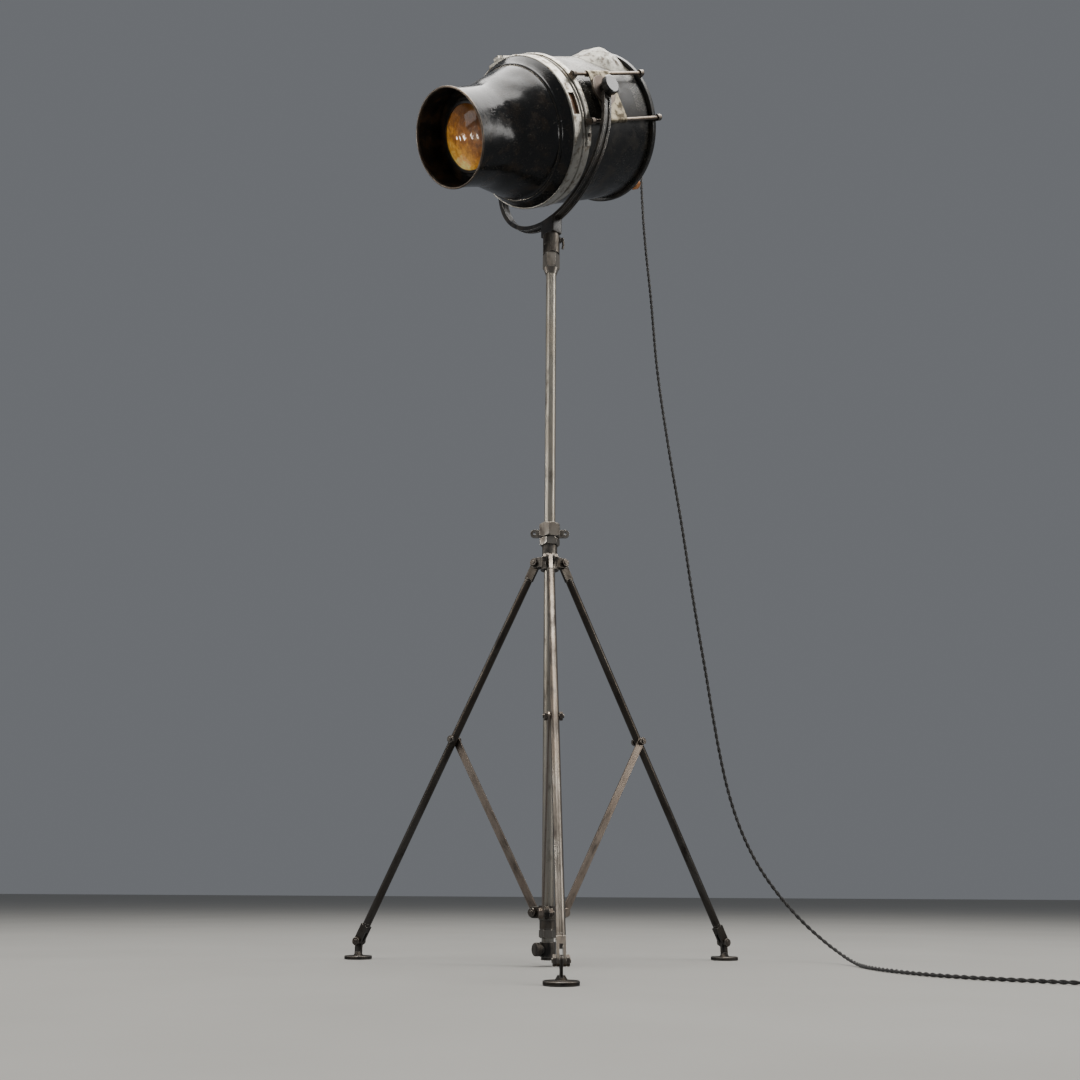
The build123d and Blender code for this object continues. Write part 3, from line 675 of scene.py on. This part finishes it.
# %% Braid
def braid(name, colour, light, picks, pitch):
    material, tree, shader, place = new_material(name)
    uv = node(tree, "UVMap", uv_map="cord").outputs[0]
    threads = []
    for turn in (1, -1):
        inputs = {"Vector": uv, "Rotation": (0, 0, turn * 0.6), "Scale": (picks, 1 / pitch, 1)}
        lined = node(tree, "Mapping", inputs).outputs[0]
        wave = node(tree, "TexWave", {"Vector": lined, "Scale": 1.0, "Distortion": 0.3}).outputs["Fac"]
        threads.append(wave)
    weave = maths(tree, "MAXIMUM", *threads)
    fuzz = node(tree, "TexNoise", {"Vector": place, "Scale": 1500.0, "Detail": 2.0}).outputs["Fac"]
    worn = use(tree, patch_group, Vector=place, Scale=16.0, Cover=0.4, Softness=0.2)
    tone = maths(tree, "ADD", maths(tree, "MULTIPLY", weave, 0.6), maths(tree, "MULTIPLY", fuzz, 0.4))
    body = blended(tree, tone, rgb(*(0.4 * c for c in colour)), rgb(*light))
    tree.links.new(blended(tree, worn, body, rgb(*colour)), shader.inputs["Base Color"])
    shader.inputs["Roughness"].default_value = 0.8
    shader.inputs["Sheen Weight"].default_value = 0.35
    shader.inputs["Sheen Roughness"].default_value = 0.4
    height = maths(tree, "ADD", weave, maths(tree, "MULTIPLY", fuzz, 0.3))
    bump = node(tree, "Bump", {"Height": height, "Distance": 0.00025})
    tree.links.new(bump.outputs[0], shader.inputs["Normal"])
    return material


flex_braid = braid("flex_braid", (0.020, 0.019, 0.018), (0.060, 0.056, 0.052), 6.0, 0.0016)
print("materials:", len(bpy.data.materials))

# %% [markdown]
# The cord's mesh follows its spline. Each of the two cores is a tube whose centre circles the
# spline once every 26 mm, half a turn from the other core. The spline is cut into four lengths.
# The first three keep their place without a body, and the last is carried by the mast.

# %% Twisted flex
def spline_line(route, step=0.002):
    """The route's NURBS spline as evenly spaced points."""
    curve = bpy.data.curves.new("route", "CURVE")
    curve.dimensions, curve.resolution_u = "3D", 24
    spline = curve.splines.new("NURBS")
    spline.points.add(len(route) - 1)
    spline.points.foreach_set("co", np.column_stack((route, np.ones(len(route)))).ravel())
    spline.order_u = 3
    spline.use_endpoint_u = True
    holder = bpy.data.objects.new("route", curve)
    line = bpy.data.meshes.new_from_object(holder)
    points = np.empty(len(line.vertices) * 3)
    line.vertices.foreach_get("co", points)
    bpy.data.objects.remove(holder)
    points = points.reshape(-1, 3)
    runs = np.concatenate(([0], np.cumsum(np.linalg.norm(np.diff(points, axis=0), axis=1))))
    even = np.linspace(0, runs[-1], int(runs[-1] / step))
    return even, np.column_stack([np.interp(even, runs, points[:, k]) for k in range(3)])


def twisted_pair(name, distance, line, core=0.00185, offset=0.0014, lay=0.026, columns=8):
    """core(s, t) = line(s) + offset (cos p N + sin p B) + core radius (cos t N + sin t B), with
    p = 2 pi s / lay, and N and B square to the line. The second core has p half a turn on."""
    level = np.clip((0.35 - line[:, 2:3]) / 0.25, 0, 1)
    guide = unit((1 - level) * np.array((-0.64, 0.76, 0)) + level * np.array((0, 0, 1.0)))
    tangent = unit(np.gradient(line, axis=0))
    normal = unit(np.cross(tangent, guide))
    across = np.cross(tangent, normal)
    t = np.linspace(0, 2 * np.pi, columns + 1)
    points, faces, uv = [], [], []
    for half in (0, np.pi):
        p = 2 * np.pi * distance / lay + half
        centre = line + offset * (np.cos(p)[:, None] * normal + np.sin(p)[:, None] * across)
        angle = p[:, None] + t[None, :]
        ring = np.cos(angle)[..., None] * normal[:, None] + np.sin(angle)[..., None] * across[:, None]
        first = sum(len(part) for part in points)
        points.append((centre[:, None] + core * ring).reshape(-1, 3))
        faces += grid_faces(len(line), columns + 1, False, False, first)
        last = first + (len(line) - 1) * (columns + 1)
        faces += [list(range(first, first + columns)), list(range(last, last + columns))]
        around, run = np.meshgrid(t / (2 * np.pi), distance)
        uv.append(np.stack((around, run), -1).reshape(-1, 2))
    return mesh_piece(name, np.concatenate(points), faces, None, flex_braid, uv=np.concatenate(uv))


tail = np.array([(0.8580, -0.3070, 0.0110), (0.8640, -0.2960, 0.0165), (0.8659, -0.2863, 0.0192)])
route = np.concatenate((top_route, drop_route, floor_route, coil, tail))
distance, line = spline_line(route)
print("cord length", round(distance[-1], 3), "m,", len(line), "points")
ARCH_LENGTH = 0.088  # the flex's first piece, in m along its spline
arch_end = int(np.argmax(distance > ARCH_LENGTH))
YOKE_LEVEL = 1.22  # where the piece that the yoke carries ends, in m above the floor
yoke_end = int(np.argmax((line[:, 2] < YOKE_LEVEL) & (distance > 0.1)))
cuts = [0, arch_end, yoke_end, int(np.argmax(line[:, 2] < 0.56)), len(line) - 1]
names = ("flex_gland", "flex_top", "flex_drop", "flex_floor")
parts = []
for name, first, last in zip(names, cuts, cuts[1:]):
    span = slice(first, last + 1)
    piece = twisted_pair(name, distance[span], line[span])
    parts.append((piece, line[first], line[last], distance[last] - distance[first], line[span]))
    print(name, round(parts[-1][3], 3), "m")
(arch, *arch_facts), (top, *top_facts), (drop, *drop_facts), (floor_part, *floor_facts) = parts
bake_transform(arch)
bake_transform(top)
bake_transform(drop)
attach(floor_part, "mast")
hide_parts("cord_run")
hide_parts("cord_run")
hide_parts("cord_run")
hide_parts("cord_run", "cord_coil")

# %% [markdown]
# The snoot is spun from one sheet over a former: a straight nose, a flare, a rolled seam and the
# flange that the ring holds. Its rim is rolled over a wire. Half a century of stands falling over
# gave it dents, which are added to the radius as smooth hollows, so that both faces of the sheet
# move together.

# %% Snoot
SHEET = 0.0015


def smooth_profile(points, count=90):
    """The outline through the points, eased by averaging each point with its neighbours."""
    x, r = np.array(points).T
    even = np.linspace(x[0], x[-1], count)
    radius = np.interp(even, x[::-1], r[::-1]) if x[0] > x[-1] else np.interp(even, x, r)
    kernel = np.ones(7) / 7
    padded = np.concatenate((np.full(3, radius[0]), radius, np.full(3, radius[-1])))
    return np.column_stack((even, np.convolve(padded, kernel, "valid")))


dents = [
    (0.178, 22, 0.020, 11, 0.0030),
    (0.150, 38, 0.016, 8, 0.0016),
    (0.205, 60, 0.018, 9, 0.0014),
    (0.160, -18, 0.024, 12, 0.0012),
    (0.190, 150, 0.020, 12, 0.0020),
    (0.140, 205, 0.018, 9, 0.0018),
    (0.260, 100, 0.016, 9, 0.0010),
    (0.215, -70, 0.022, 12, 0.0016),
]


def dented(x, angle):
    """Minus the sum of depth * exp(-(dx/width)^2 - (dangle/spread)^2), and a slight oval that
    fades out at the ring, which keeps the flange round."""
    total = 0.0005 * np.cos(2 * angle + 0.7) * np.clip((x - 0.105) / 0.06, 0, 1)
    for place, degrees, width, spread_of, depth in dents:
        turn = (np.degrees(angle) - degrees + 180) % 360 - 180
        total = total - depth * np.exp(-(((x - place) / width) ** 2) - (turn / spread_of) ** 2)
    return total


nose = [
    (0.2885, 0.0905), (0.262, 0.0908), (0.235, 0.0918), (0.212, 0.0938), (0.198, 0.0975),
    (0.180, 0.1045),
]
nose += [(0.160, 0.1115), (0.140, 0.1190), (0.125, 0.1247), (0.1178, 0.1264)]
skin = smooth_profile(nose)
seam = [(0.1176, 0.1284), (0.1166, 0.1297), (0.1150, 0.1303), (0.1132, 0.1303), (0.1120, 0.1308)]
flange = [
    (0.1060, 0.1354), (0.1004, 0.1398), (0.0980, 0.1416), (0.0969, 0.1424), (0.0964, 0.1426),
    (0.0921, 0.1426),
]
outside = np.concatenate((skin, seam, flange))
snoot_outline = np.concatenate((outside, (outside - (0, SHEET))[::-1]))
snoot = turned("snoot_shell", snoot_outline, "head", black_enamel, 192, 0, dented)
turn = np.linspace(0, 2 * np.pi, 12, endpoint=False)
wire = np.column_stack((0.2890 + 0.0022 * np.cos(turn), 0.0902 + 0.0022 * np.sin(turn)))
rim = turned("snoot_rim", wire, "head", rod_steel, 192, 0, dented)
lining = np.concatenate((skin[1:] - (0, SHEET + 0.0001), (skin[1:] - (0, SHEET + 0.0006))[::-1]))
lining = turned("snoot_lining", lining, "head", mouth_black, 192, 0, dented)
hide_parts("snoot")

# %% [markdown]
# The ring has a gate, a slot that takes a frame with a coloured glass. What shows in the slot is
# the frame's brown edge: a short strip of the ring's own curve, a little below its face.

# %% Gate frame
def arc_bar(name, x, radii, degrees, body, material, steps=16):
    """A bar of four sides (x and radius limits) carried round the lamp's axis through an angle."""
    ring = np.array([(x[0], radii[0]), (x[1], radii[0]), (x[1], radii[1]), (x[0], radii[1])])
    angle = np.radians(np.linspace(*degrees, steps))[:, None]
    points = in_head(ring[None, :, 0], ring[None, :, 1] + 0 * angle, angle)
    faces = grid_faces(steps, 4, False) + [[0, 1, 2, 3], [4 * steps - 4 + k for k in range(4)]]
    return mesh_piece(name, points, faces, body, material)


arc_bar("gate_frame", (0.0757, 0.0913), (0.1373, 0.1405), (-14.6, 1.8), "head", brown_paint)

# %% [markdown]
# Inside the mouth a stepped baffle holds the lens. Its rings catch a little light. The lens is a
# plano-convex glass: flat behind, and a cap of a sphere in front.

# %% Baffle, lens and glow
baffle = [(0.2280, 0.0620), (0.2280, 0.0885), (0.2310, 0.0889), (0.2322, 0.0889), (0.2322, 0.0800)]
baffle += [(0.2352, 0.0792), (0.2352, 0.0730), (0.2386, 0.0722), (0.2386, 0.0668), (0.2430, 0.0660)]
baffle += [(0.2430, 0.0602), (0.2414, 0.0602), (0.2414, 0.0621)]
bezel = turned("lens_baffle", baffle, "head", mouth_black, 128, 0.0005)
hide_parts("lens_bezel")
edge, rear, front, bulge = 0.0617, 0.2301, 0.2390, 0.0170
ball = (edge**2 + bulge**2) / (2 * bulge)
swing = np.linspace(np.arcsin(edge / ball), 0, 24)
cap = np.column_stack((front + bulge - ball + ball * np.cos(swing), ball * np.sin(swing)))
lens_outline = np.concatenate((
    cap, [(rear, 0.0), (rear, 0.03), (rear, edge - 0.0005), (rear + 0.0005, edge)]
))
lens = turned("lens_solid", lens_outline, "head", lens_glass, 128, 0)
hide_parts("lens")
steps = np.linspace(0, 0.0610, 14)
disc_face = np.column_stack((np.full(14, 0.2296), steps))
disc_outline = np.concatenate((disc_face, disc_face[::-1] - (0.0012, 0)))
turned("warm_disc", disc_outline, "head", warm_glow, 96, 0)

# %% [markdown]
# The drum has to let the bulb's heat out, so its sheet is punched with small holes along the top
# and in strips beside the ring and the rear rim. Holes are real geometry here. The wall is a
# lattice whose rows are each shifted by half a pitch. A plain cell is one face, and a punched
# cell is four faces round an eight-sided hole. Both skins and the holes' walls come from the
# same arrays.

# %% Punched drum
def punched_wall(name, radius, x_front, x_back, rows, columns, hole, is_punched, body, material):
    """Corner (i, j) lies at x_i and angle (j + i / 2) pitch. A hole's eight points lie round the
    middle of its cell at k 45 degrees, and each side of the cell joins three of them."""
    step_x, pitch = (x_back - x_front) / rows, 2 * np.pi / columns
    i, j = np.meshgrid(np.arange(rows + 1), np.arange(columns), indexing="ij")
    corner_x, corner_angle = x_front + i * step_x, (j + 0.5 * i) * pitch
    ci, cj = (part.ravel() for part in np.meshgrid(np.arange(rows), np.arange(columns), indexing="ij"))
    middle_x = x_front + (ci + 0.5) * step_x
    middle_angle = (cj + 0.75 + 0.5 * ci) * pitch
    holed = is_punched(middle_x, (np.degrees(middle_angle) + 180) % 360 - 180)
    k = np.arange(8) * np.pi / 4
    hole_x = middle_x[holed][:, None] + hole * np.cos(k)
    hole_angle = middle_angle[holed][:, None] + hole * np.sin(k) / radius
    corners = np.stack(
        (ci * columns + cj, (ci + 1) * columns + cj, (ci + 1) * columns + (cj + 1) % columns,
         ci * columns + (cj + 1) % columns), -1,
    )
    count = (rows + 1) * columns + hole_x.size
    skins = [
        in_head(np.concatenate((corner_x.ravel(), hole_x.ravel())), r,
                np.concatenate((corner_angle.ravel(), hole_angle.ravel())))
        for r in (radius, radius - SHEET)
    ]
    hole_ids = (rows + 1) * columns + np.arange(hole_x.size).reshape(-1, 8)
    c = corners[holed]
    sides = ((0, 3, (5, 4, 3)), (3, 2, (3, 2, 1)), (2, 1, (1, 0, 7)), (1, 0, (7, 6, 5)))
    faces = corners[~holed].tolist()
    for first, second, ring in sides:
        near = np.column_stack((c[:, first], c[:, second], *(hole_ids[:, n] for n in ring[::-1])))
        faces += near.tolist()
    faces += (np.array([face for face in faces if len(face) == 4]) + count).tolist() + (
        np.array([face for face in faces if len(face) == 5]) + count
    ).tolist()
    following = np.roll(hole_ids, -1, axis=1)
    hole_walls = np.stack((hole_ids, following, following + count, hole_ids + count), -1)
    faces += hole_walls.reshape(-1, 4).tolist()
    ends = np.arange(columns)
    for end in (ends, rows * columns + ends):
        after = np.roll(end, -1)
        faces += np.stack((end, after, after + count, end + count), -1).tolist()
    piece = mesh_piece(name, np.concatenate(skins), faces, body, material)
    print(name, int(holed.sum()), "holes,", len(piece.data.polygons), "faces")
    return piece


def vented(x, degrees):
    """Over the top everywhere, and lower down only in a front strip and a rear strip."""
    above = np.abs(degrees - 90) < 74
    strip = (np.abs(degrees - 90) < 104) & (((x > 0.018) & (x < 0.046)) | ((x < -0.110) & (x > -0.143)))
    inside = (x < 0.046) & (x > -0.143)
    under_cowl = (np.abs(x + 0.104) < 0.054) & (np.abs(degrees - 45) < 22)
    return (above & inside | strip) & ~under_cowl


drum = punched_wall(
    "punched_drum", 0.142, 0.0558, -0.150, 35, 150, 0.00175, vented, "head", drum_enamel
)
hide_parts("lamp_drum")

# %% [markdown]
# The drum is closed behind by a pressed cover with a rolled rim and two stiffening beads, which
# is how thin sheet is made flat and quiet. The cover's outline is turned like the snoot's.

# %% Rear cover
cover = [(-0.1460, 0.1422), (-0.1460, 0.1500), (-0.1480, 0.1506), (-0.1560, 0.1506), (-0.1590, 0.1480)]
cover += [(-0.1596, 0.1400), (-0.1612, 0.1320), (-0.1636, 0.1290), (-0.1632, 0.1210), (-0.1608, 0.1170)]
cover += [(-0.1640, 0.1100), (-0.1660, 0.0840), (-0.1680, 0.0800), (-0.1680, 0.0720), (-0.1662, 0.0680)]
cover += [(-0.1674, 0.0300), (-0.1678, 0.0)]
skin_inside = [(x + 0.0016, r - 0.0004) for x, r in cover[4:-1]] + [(-0.1662, 0.0)]
cover_outline = cover + skin_inside[::-1] + [(-0.1540, 0.1420)]
rear = turned("rear_pressing", cover_outline, "head", cover_enamel, 128, 0.0012)
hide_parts("rear_cover")

# %% [markdown]
# The cowl is a shallow cone of sheet riveted over the chimney hole, with louvres pressed in its
# skirt. It sits on a curved drum, so it is worked out in polar steps over the drum's surface:
# every point is as far above the drum as the cone's height there says.

# %% Cowl
def cowl_piece(name, centre_x, centre_degrees, reach, height, radius, rings=40, segments=120):
    """Height above the drum at distance d: height (1 - d / reach), with the tip rounded and
    louvres, raised where cos(10 angle) is near one, half way down."""
    d = np.linspace(0, reach, rings)[:, None]
    angle = np.linspace(0, 2 * np.pi, segments, endpoint=False)[None, :]
    tip = 0.006
    cone = height * (1 - (np.sqrt(d**2 + tip**2) - tip) / (np.sqrt(reach**2 + tip**2) - tip))
    louvre = np.exp(-(((d - 0.62 * reach) / 0.007) ** 2)) * np.clip(np.cos(10 * angle) - 0.25, 0, 1)
    lift = 0.0003 + cone + 0.0032 * louvre
    x = centre_x + d * np.cos(angle)
    turn = np.radians(centre_degrees) + d * np.sin(angle) / radius
    upper = in_head(x, radius + lift, turn)
    lower = in_head(x, radius + np.maximum(lift - 0.0012, 0.0001), turn)
    points = np.concatenate((upper.reshape(-1, 3), lower.reshape(-1, 3)))
    faces = grid_faces(rings, segments, False) + grid_faces(rings, segments, False, True, rings * segments)
    edge_ring = (rings - 1) * segments + np.arange(segments)
    after = np.roll(edge_ring, -1)
    size = rings * segments
    faces += np.stack((edge_ring, after, after + size, edge_ring + size), -1).tolist()
    return mesh_piece(name, points, faces, "head", cowl_metal)


cowl = cowl_piece("chimney_cowl", -0.104, 45, 0.056, 0.0215, 0.142)
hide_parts("vent_cowl")
print("cowl", len(cowl.data.polygons), "faces")

# %% [markdown]
# The other CAD nodes already have their true shape, so they only need their finish. One table
# says which finish each node has.

# %% Finishes of the CAD nodes
finishes = {
    mast_steel: ["mast_tube"],
    nut_steel: ["mast_coupling", "spider_nut", "hinge_head_nut", "mast_clamp_nut"],
    cast_steel: ["mast_end_cap", "spigot_receiver", "stop_collar", "stop_screw",
                 "spider_collar", "hinge_head",
                 "receiver_lever", "focus_carriage"],
    bolt_steel: ["spider_pins", "hinge_bolts", "pivot_studs_and_discs", "tilt_nut",
                 "ring_screws", "rod_lugs"],
    rod_steel: ["balance_rods", "focus_rod"],
    yoke_enamel: ["yoke", "yoke_block"],
    ring_metal: ["clamp_ring", "ring_band"],
    saddle_metal: ["saddle_plate_near", "saddle_plate_far"],
    brown_bakelite: ["focus_knob"],
    black_bakelite: ["tilt_knob", "cord_gland", "plug"],
    brass: ["lampholder"],
    bulb_glass: ["bulb"],
    amber_pane: ["amber_glass"],
}
for side in legs:
    finishes[legs[side]] = [f"leg_tube_{side}", f"leg_eye_{side}", f"leg_fork_{side}"]
    finishes[bars[side]] = [f"brace_{side}"]
    finishes.setdefault(bolt_steel, []).append(f"leg_bolts_{side}")
    finishes.setdefault(foot_steel, []).append(f"foot_{side}")
for material, names in finishes.items():
    for name in names:
        slots = frame["nodes"][name].data.materials
        slots.clear()
        slots.append(material)
print("finished nodes:", sum(len(names) for names in finishes.values()))

# %% [markdown]
# A plain pale floor catches the soft shadows. Big soft lights stand for a studio's windows and
# boxes: polished steel and gloss paint look like what they reflect, so the long highlights on
# the tubes and the broad one on the snoot are these lights' mirror images. The floor is kept out
# of mirror reflections, and three small lights are there only for the glints on the lens.

# %% Floor and light
floor_mesh = bpy.data.meshes.new("floor")
floor_mesh.from_pydata([(-30, -30, 0), (30, -30, 0), (30, 30, 0), (-30, 30, 0)], [], [(0, 1, 2, 3)])
floor = bpy.data.objects.new("floor", floor_mesh)
scene.collection.objects.link(floor)
floor_material, tree, shader, place = new_material("floor_pale")
cloud = node(tree, "TexNoise", {"Vector": place, "Scale": 3.0, "Detail": 5.0}).outputs["Fac"]
tree.links.new(
    blended(tree, cloud, rgb(0.42, 0.41, 0.38), rgb(0.50, 0.49, 0.46)), shader.inputs["Base Color"]
)
shader.inputs["Roughness"].default_value = 0.75
floor_mesh.materials.append(floor_material)
floor.visible_glossy = False

world = bpy.data.worlds.new("studio")
world.use_nodes = True
world.node_tree.nodes["Background"].inputs[0].default_value = (0.30, 0.315, 0.34, 1.0)
world.node_tree.nodes["Background"].inputs[1].default_value = 0.5
scene.world = world


def softbox(name, place, towards, width, height, watts, colour=(1.0, 0.98, 0.95)):
    light = bpy.data.lights.new(name, "AREA")
    light.shape, light.size, light.size_y = "RECTANGLE", width, height
    light.energy, light.color = watts, colour
    lamp = bpy.data.objects.new(name, light)
    lamp.location = place
    lamp.rotation_euler = (Vector(towards) - Vector(place)).to_track_quat("-Z", "Y").to_euler()
    lamp.visible_camera = False
    scene.collection.objects.link(lamp)


softbox("ceiling", (0.2, -0.3, 3.7), (0, 0, 1.0), 3.0, 2.6, 150)
softbox("window", (-3.0, -1.6, 2.6), (0, 0, 1.0), 1.5, 2.4, 16)
for pane in (-1, 0, 1):
    softbox("pane", (-2.4, 0.10 + 0.34 * pane, 1.46 + 0.30 * pane), (-0.17, -0.14, 1.48), 0.10, 0.22, 2.2)
softbox("right_strip", (2.9, -0.6, 2.5), (0, 0, 1.4), 0.5, 3.6, 36)
